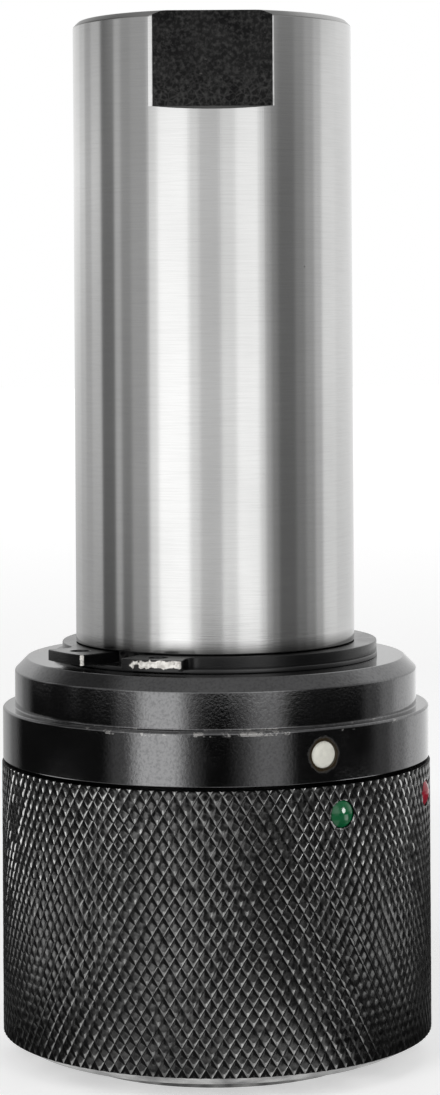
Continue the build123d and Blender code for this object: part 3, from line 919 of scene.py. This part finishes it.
def knurled_bar():
    """A length of knurled bar, a little longer than the sleeve: each raised diamond has four flanks
    round a flat top, the lower two steeper than the upper two, as the wheels leave them."""
    worn = random.Random(11)
    deeper = [[worn.uniform(0, tooth_wear) for tooth in range(diamonds_round)] for wheel in range(2)]
    bar = bmesh.new()
    half = diamond_height / 2
    turns = 2 * diamonds_round
    rows = int((sleeve_high.z - sleeve_low.z) / half) + 4
    start = sleeve_low.z - diamond_height
    places = [(turn, row) for row in range(-1, rows + 2) for turn in range(turns)]
    grooves = {
        (turn, row): bar.verts.new(on_cylinder(turn, start + row * half, sleeve_radius - knurl_depth))
        for turn, row in places
        if (turn + row) % 2 == 0
    }
    around = ((-1, 0), (0, -1), (1, 0), (0, 1))
    for turn, row in places:
        if (turn + row) % 2 == 0 or not 0 <= row <= rows:
            continue
        left, bottom, right, top = (grooves[(turn + a) % turns, row + b] for a, b in around)
        left_wear, bottom_wear, right_wear, top_wear = (
            worn.uniform(0, diamond_wear)
            + deeper[0][(turn + row + a + b) // 2 % diamonds_round]
            + deeper[1][(turn - row + a - b) // 2 % diamonds_round]
            for a, b in around
        )
        # the tip has five corners, two of them at the bottom over one groove point
        outline = (left, bottom, bottom, right, top)
        wear = (left_wear, bottom_wear, bottom_wear, right_wear, top_wear)
        for share, rise, drop in knurl_steps:
            blunt = (
                (-share, 0), (-tip_half_width, tip_cut - share), (tip_half_width, tip_cut - share),
                (share, 0), (0, share),
            )
            inner = [
                bar.verts.new(on_cylinder(
                    turn + a, start + (row + b + rise) * half, sleeve_radius - knurl_depth * drop - lost,
                ))
                for (a, b), lost in zip(blunt, wear)
            ]
            for k in range(len(inner)):
                n = (k + 1) % len(inner)
                bar.faces.new(dict.fromkeys((outline[k], outline[n], inner[n], inner[k])))
            outline = inner
        bar.faces.new(outline)
    saw_off(bar, start + bar_trim * half, -1)
    saw_off(bar, start + (rows - bar_trim) * half, 1)
    bmesh.ops.recalc_face_normals(bar, faces=bar.faces[:])
    return as_mesh("knurled_bar", bar)


def handled_knurl():
    """Black oxide on cut steel, with light and shade painted by facing: near black and dull on the
    flanks that face up as painted shade, bare on those that face down as painted light, and bare
    round the two plugs."""
    material, where = new_finish("knurl_black")
    x, y, z = axes_of(where)
    facing_x, facing_y, up = axes_of(Amount(where.socket.node.outputs["Normal"]))
    cloud = noise(where, 1300, detail=6, roughness=0.65)
    patch = fade(cloud, 0.35, 0.65)
    # painted light and shade: the flanks that face down are bare, and those that face one way round
    # get only half as much, so that side of each diamond stays darker
    sideways = (facing_y * x - facing_x * y) * (1 / sleeve_radius)
    rubbed_and_lit = fade(up, -0.20, -0.10, 1.0, 0.0) * fade(sideways, -0.15, 0.05, 0.5, 1.0)
    for angle in (green_angle, red_angle):
        rim = fade(from_hole(x, y, z, angle, dot_height), rim_inside, rim_outside, 1.0, 0.0)
        rubbed_and_lit = either(rubbed_and_lit, rim)
    oxide = blend_colour(patch, oxide_dark, oxide_light)
    colour = blend_colour(rubbed_and_lit, oxide, blend_colour(patch, bare_dark, bare_light))
    # the chamfer at the foot was cut through the oxide, and is stained unevenly round its rim
    foot = fade(up, -0.80, -0.70, 1.0, 0.0)
    stain = fade(noise(where, 240, detail=2, stretch=(1, 1, 0)), 0.40, 0.62)
    colour = blend_colour(foot, colour, blend_colour(stain, stain_dark, stain_light))
    # painted shade: the flanks that face up are painted near black and dull
    facing_up_shade = fade(up, 0.05, 0.12)
    coat(material, {
        "Base Color": blend_colour(facing_up_shade, colour, painted_shade_black),
        "Metallic": 1.0,
        "Roughness": blend_number(facing_up_shade, fade(cloud, 0.3, 0.7, 0.14, 0.26), 0.5),
        "Normal": bump(cloud, 0.02 * mm),
    })
    return material


def outer_sleeve(from_axis, height):
    """Where the knurled bar gives the sleeve's outside."""
    return from_axis > foot_radius - 0.05 * mm


knurl_black = handled_knurl()
sleeve = link("knurled_sleeve", knurled_bar(), knurl_black)
boolean(sleeve, lathe("sleeve_blank", eased([
    (sleeve_bore, sleeve_low.z, 0),
    (foot_radius, sleeve_low.z, 0.15 * mm),
    (sleeve_radius, sleeve_low.z + foot_height, 0),
    (sleeve_radius, sleeve_high.z - top_chamfer, 0),
    (sleeve_radius - top_chamfer, sleeve_high.z, 0.05 * mm),
    (sleeve_bore, sleeve_high.z, 0),
])), "INTERSECT")
boolean(sleeve, cad_copy("locking_sleeve", outer_sleeve), "INTERSECT")
dress(sleeve, "locking_sleeve", "sleeve", knurl_black)

# Dots. Three moulded plastic plugs, pressed into blind holes a hair too wide, with domed glossy
# faces. The green one has a glint from a small lamp on its right, which lights nothing else.
plug_radius = 1.47 * mm
plug_depth = 1.2 * mm
plug_sink = 0.2 * mm
flat_dome, full_dome = 0.2 * mm, 0.5 * mm
glint_direction, glint_rise = radians(66), radians(9)
glint_distance, glint_size, glint_watts = 120 * mm, 50 * mm, 0.10
cream_colour, green_colour, red_colour = (0.86, 0.85, 0.76), (0.001, 0.070, 0.022), (0.42, 0.012, 0.035)


def plastic(name, colour, gloss, shade=0.8):
    """Moulded plastic, slightly uneven."""
    material, where = new_finish(name)
    cloud = noise(where, 1300)
    darker = tuple(shade * channel for channel in colour)
    coat(material, {
        "Base Color": blend_colour(fade(cloud, 0.3, 0.6), darker, colour),
        "Roughness": fade(cloud, 0.3, 0.7, gloss, gloss + 0.1),
        "Normal": bump(cloud, 0.01 * mm),
    })
    return material


def plug(colour, material, angle, height, face_radius, rise, node_name, body):
    """A domed plug, set into the side of the collar or the sleeve."""
    mesh = lathe(colour + "_plug", eased([
        (0, -plug_depth, 0),
        (plug_radius - 0.1 * mm, -plug_depth, 0),
        (plug_radius, -plug_depth + 0.1 * mm, 0),
        (plug_radius, 0, 0.08 * mm),
        *((plug_radius * share, rise * (1 - share**2), 0) for share in (0.9, 0.75, 0.6, 0.4, 0.2)),
        (0, rise, 0),
    ]), segments=48)
    outward = Vector((cos(angle), sin(angle), 0))
    stance = outward.to_track_quat("Z", "Y").to_matrix().to_4x4()
    spot = outward * (face_radius - plug_sink) + Vector((0, 0, height))
    mesh.transform(Matrix.Translation(spot) @ stance)
    finished = link(colour + "_plug", mesh, material)
    dress(finished, node_name, body, material)
    return finished


cream = plastic("cream_plastic", cream_colour, 0.35, shade=0.88)
green = plastic("green_plastic", green_colour, 0.05)
red = plastic("red_plastic", red_colour, 0.06)
plug("cream", cream, cream_angle, cream_height, collar_radius, flat_dome, "index_dot", "holder")
green_plug = plug("green", green, green_angle, dot_height, sleeve_radius, full_dome, "locked_dot", "sleeve")
plug("red", red, red_angle, dot_height, sleeve_radius, full_dome, "open_dot", "sleeve")

green_face = Vector((sleeve_radius * cos(green_angle), sleeve_radius * sin(green_angle), dot_height))
towards_lamp = Vector((sin(glint_direction), -cos(glint_direction), tan(glint_rise)))
glint = area_lamp(
    "glint_lamp", green_face + glint_distance * towards_lamp, green_face, glint_watts, glint_size,
)
lit = bpy.data.collections.new("glint_receivers")
lit.objects.link(green_plug)
glint.light_linking.receiver_collection = lit


# Inner parts. Ground pins and plunger, a phosphated clip, and moulded rubber seals. The pins slide in
# the body, the plunger in its chamber under the clip, and the seals lie in turned grooves.
def plain_finish(name, colours, roughness, metallic, grain, depth, stretch=(1, 1, 1)):
    """A finish for the parts inside, mottled or lined at its own scale, from one colour and
    roughness to another."""
    material, where = new_finish(name)
    lines = noise(where, grain, detail=5, stretch=stretch)
    coat(material, {
        "Base Color": blend_colour(lines, *colours),
        "Roughness": fade(lines, 0.3, 0.7, *roughness),
        "Metallic": metallic,
        "Normal": bump(lines, depth),
    })
    return material


def finish_nodes(names, material):
    """Gives carried-over pieces their finish."""
    for name in names:
        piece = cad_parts[name]
        piece.data.materials.clear()
        piece.data.materials.append(material)


bright_pin = plain_finish(
    "bright_pin", colours=((0.48, 0.48, 0.47), (0.62, 0.62, 0.61)), roughness=(0.18, 0.30),
    metallic=1.0, grain=400, depth=0.002 * mm, stretch=(1, 1, 12),
)
spring_wire = plain_finish(
    "spring_wire", colours=((0.16, 0.155, 0.15), (0.30, 0.29, 0.28)), roughness=(0.32, 0.48),
    metallic=1.0, grain=1800, depth=0.006 * mm,
)
seal_rubber = plain_finish(
    "seal_rubber", colours=((0.010, 0.010, 0.010), (0.022, 0.022, 0.022)), roughness=(0.45, 0.65),
    metallic=0.0, grain=1500, depth=0.008 * mm,
)
finish_nodes(("locking_pin_a", "locking_pin_b", "stop_pin", "collar_key", "ejector_plunger"), bright_pin)
finish_nodes(("plunger_clip",), spring_wire)
finish_nodes(("sleeve_seal", "collar_seal", "bore_seal"), seal_rubber)

# Springs. Coiled from round spring wire and phosphated, each a smooth copy of its carried-over piece.
# In use one end of each stays on the body: the return spring twists with the sleeve, the small ones
# lengthen under the heads of their pins, and the long one shortens above its plunger; these copies
# keep their shape.
pin_a_angle, pin_b_angle = radians(-135), radians(-45)


def wound(name):
    """A smooth copy of a carried-over spring, which stands in its place."""
    spring = link("wound_" + name, cad_copy(name), spring_wire)
    spring.data.shade_smooth()
    spring.data.set_sharp_from_angle(angle=radians(70))
    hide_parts(name)
    return spring


low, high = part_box("return_spring")
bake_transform(wound("return_spring"))
for letter, angle in (("a", pin_a_angle), ("b", pin_b_angle)):
    spring = wound("pin_spring_" + letter)
    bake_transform(spring)
low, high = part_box("ejector_spring")
spring = wound("ejector_spring")
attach(spring, "holder")
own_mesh(spring)
